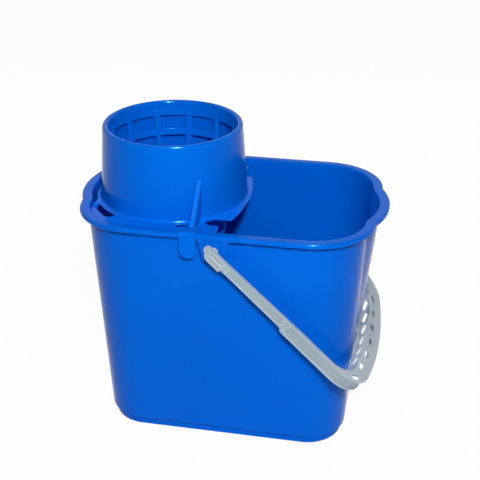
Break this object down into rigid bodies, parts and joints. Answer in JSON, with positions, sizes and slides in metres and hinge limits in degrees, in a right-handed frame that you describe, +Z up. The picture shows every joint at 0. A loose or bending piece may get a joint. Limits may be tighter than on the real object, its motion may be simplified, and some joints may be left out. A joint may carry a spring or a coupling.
{
  "type": "mop bucket with wringer",
  "caption": "Tapered oblong mop bucket with pouring lips, a round press wringer hooked over the rim at one end and a swinging bail handle with a perforated grip.",
  "frame": {"origin": "on the floor, under the middle of the bucket", "axes": "+X along the bucket away from the wringer, +Y across it, +Z up"},
  "size_m": [0.372, 0.261, 0.3733],
  "materials": {
    "bucket_plastic": "glossy blue moulded polypropylene",
    "wringer_plastic": "glossy blue moulded polypropylene",
    "handle_plastic": "pale grey moulded polypropylene"
  },
  "bodies": {
    "bucket": {"bucket": "bucket_plastic"},
    "wringer": {"wringer": "wringer_plastic"},
    "handle": {"handle": "handle_plastic"}
  },
  "joints": [
    {"name": "handle_swing", "type": "hinge", "parent": "bucket", "child": "handle", "pos_m": [0, 0, 0.2685], "axis": [0, -1, 0], "range_deg": [0, 268.8]},
    {"name": "wringer_lift", "type": "slide", "parent": "bucket", "child": "wringer", "axis": [0, 0, 1], "range_m": [0, 0.25]}
  ]
}
